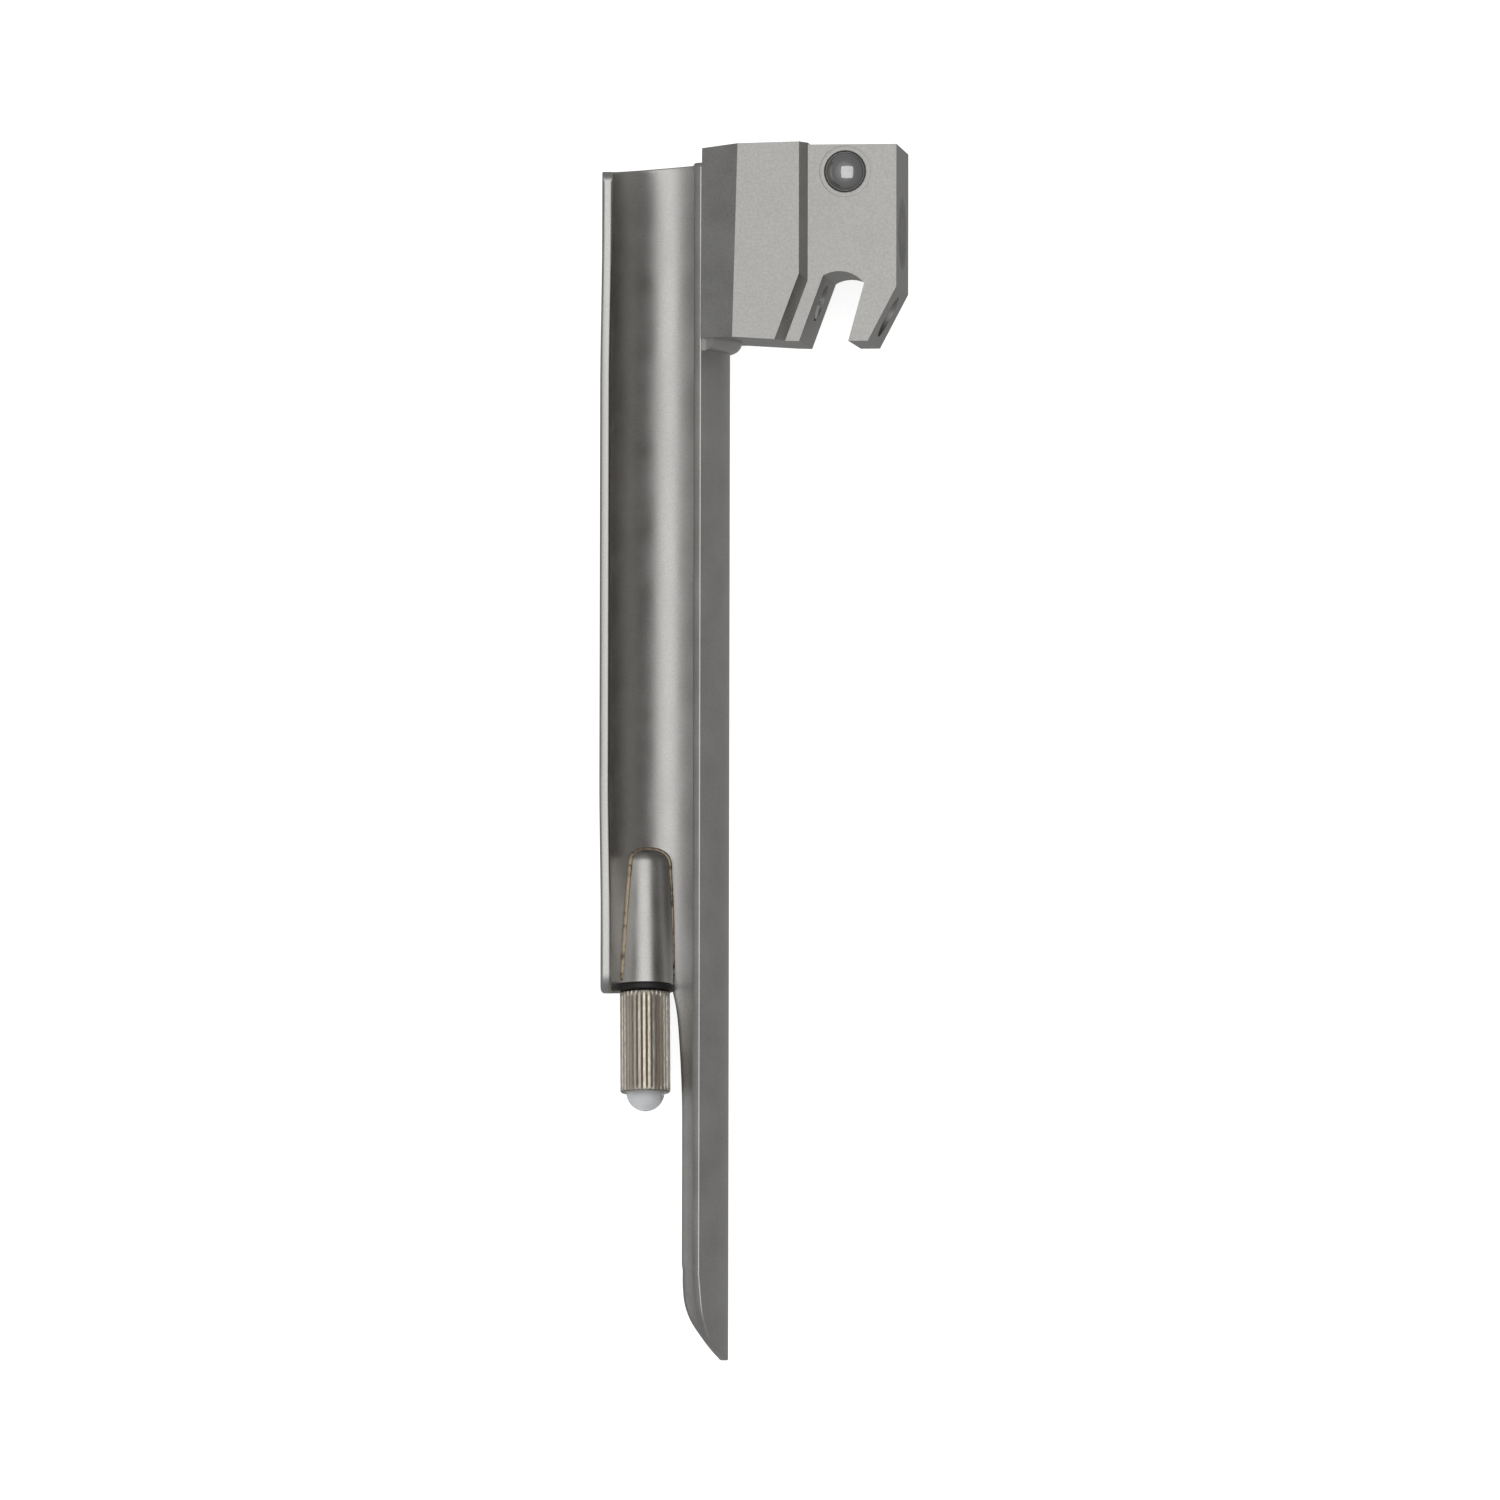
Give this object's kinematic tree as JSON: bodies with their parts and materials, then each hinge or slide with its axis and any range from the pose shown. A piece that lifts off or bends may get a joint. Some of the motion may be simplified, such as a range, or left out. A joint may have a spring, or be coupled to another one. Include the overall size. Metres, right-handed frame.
{
  "type": "laryngoscope blade",
  "caption": "Straight steel laryngoscope blade: open round channel, hook-on block with sprung latch balls, and a knurled screw-in lamp in a brazed housing.",
  "frame": {"origin": "axis of the handle's crossbar when it is home in the hook slot, half way between the two cheeks", "axes": "+X out of the face that seats on the handle, +Y towards the user along the blade, +Z out of the open side of the channel"},
  "size_m": [0.0326, 0.1304, 0.018],
  "materials": {
    "sheet_steel": "satin, fine bead blast",
    "block_steel": "bead blasted",
    "polished_steel": "polished",
    "screw_steel": "turned",
    "spring_steel": "drawn wire",
    "braze": "dull, oxidised",
    "nickel_plate": "nickel plated, knurled",
    "brass": "turned",
    "frosted_glass": "frosted",
    "black_rubber": "matt",
    "dark_insulator": "matt",
    "white_ceramic": "matt",
    "lead_jacket": "extruded",
    "copper": "drawn",
    "tungsten": "drawn wire"
  },
  "bodies": {
    "frame": {"blade": "sheet_steel", "fitting_block": "block_steel", "block_braze": "sheet_steel", "lamp_housing": "sheet_steel", "housing_braze": "braze", "conductor_tube": "sheet_steel", "lead_insulation": "lead_jacket", "lead_core": "copper", "contact_insulator": "dark_insulator", "contact_button": "nickel_plate", "cross_screw": "screw_steel", "detent_sleeve_near": "screw_steel", "detent_sleeve_far": "screw_steel", "detent_spring": "spring_steel", "socket_sleeve": "brass", "socket_insulator": "white_ceramic", "socket_contact": "brass"},
    "ball_near": {"detent_ball_near": "polished_steel"},
    "ball_far": {"detent_ball_far": "polished_steel"},
    "washer": {"lamp_washer": "black_rubber"},
    "lamp": {"lamp_shell": "nickel_plate", "lamp_glass": "frosted_glass", "lamp_bead": "frosted_glass", "lamp_leads": "copper", "lamp_filament": "tungsten", "lamp_base_insulator": "white_ceramic", "lamp_tip_contact": "brass"}
  },
  "joints": [
    {"name": "near_ball_press", "type": "slide", "parent": "frame", "child": "ball_near", "axis": [0, 0, -1], "range_m": [0, 0.0012], "stiffness_N_per_m": 200, "deforming": ["detent_spring"]},
    {"name": "far_ball_press", "type": "slide", "parent": "frame", "child": "ball_far", "axis": [0, 0, 1], "range_m": [0, 0.0012], "stiffness_N_per_m": 200, "deforming": ["detent_spring"]},
    {"name": "lamp_travel", "type": "slide", "parent": "frame", "child": "washer", "axis": [0.0259, -0.9899, 0.1392], "range_m": [0, 0.0049]},
    {"name": "lamp_turn", "type": "hinge", "parent": "washer", "child": "lamp", "pos_m": [-0.0219, -0.07425, -0.0049], "axis": [0.0259, -0.9899, 0.1392], "range_deg": [0, 2520]}
  ],
  "couplings": [
    {"joint": "lamp_turn", "follows": "lamp_travel", "rad_per_m": 8976}
  ]
}
